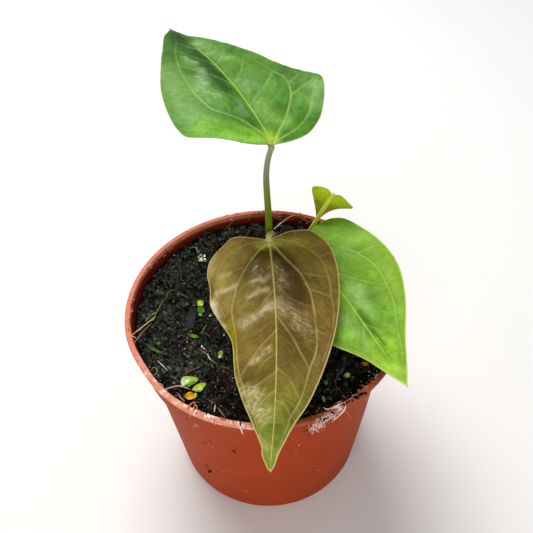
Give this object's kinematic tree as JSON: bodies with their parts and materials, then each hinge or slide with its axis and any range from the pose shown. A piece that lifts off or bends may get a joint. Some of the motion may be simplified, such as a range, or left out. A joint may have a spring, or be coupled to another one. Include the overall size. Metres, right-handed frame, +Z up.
{
  "type": "potted flamingo flower",
  "caption": "Young flamingo flower plant, not yet in bloom: heart-shaped leaves on slim stalks rise from dark potting soil in a tapered, flared plastic nursery pot.",
  "frame": {"origin": "middle of the pot's underside, on the surface that it stands on", "axes": "+Z up; the large front leaf points along -Y and the large right leaf towards +X and -Y"},
  "size_m": [0.09, 0.1318, 0.1401],
  "materials": {
    "pot_plastic": "moulded polypropylene, terracotta colour, satin, dusty, a paler lip",
    "potting_soil": "damp black peat crumbs with fibres and a few pale grains",
    "crown_stem": "fleshy green stem base with thin brown sheaths",
    "stalk": "smooth olive-green stalk, slightly glossy",
    "young_stalk": "smooth yellow-green stalk",
    "leaf_bronze": "waxy olive-bronze leaf, green tip, cream veins and margin, soft gloss",
    "leaf_green": "waxy mid-green leaf with paler veins, soft gloss",
    "leaf_bright": "waxy bright-green leaf with paler veins, soft gloss",
    "leaf_young": "soft yellow-green young leaf, matt underside",
    "seedling": "tender pale green seedling leaf"
  },
  "bodies": {
    "root": {"pot": "pot_plastic", "soil": "potting_soil", "crown": "crown_stem", "petiole_front": "stalk", "petiole_upper": "stalk", "petiole_right": "stalk", "petiole_small": "young_stalk", "leaf_front": "leaf_bronze", "leaf_upper": "leaf_green", "leaf_right": "leaf_bright", "leaf_small": "leaf_young", "weed_seedling": "seedling"}
  },
  "joints": []
}
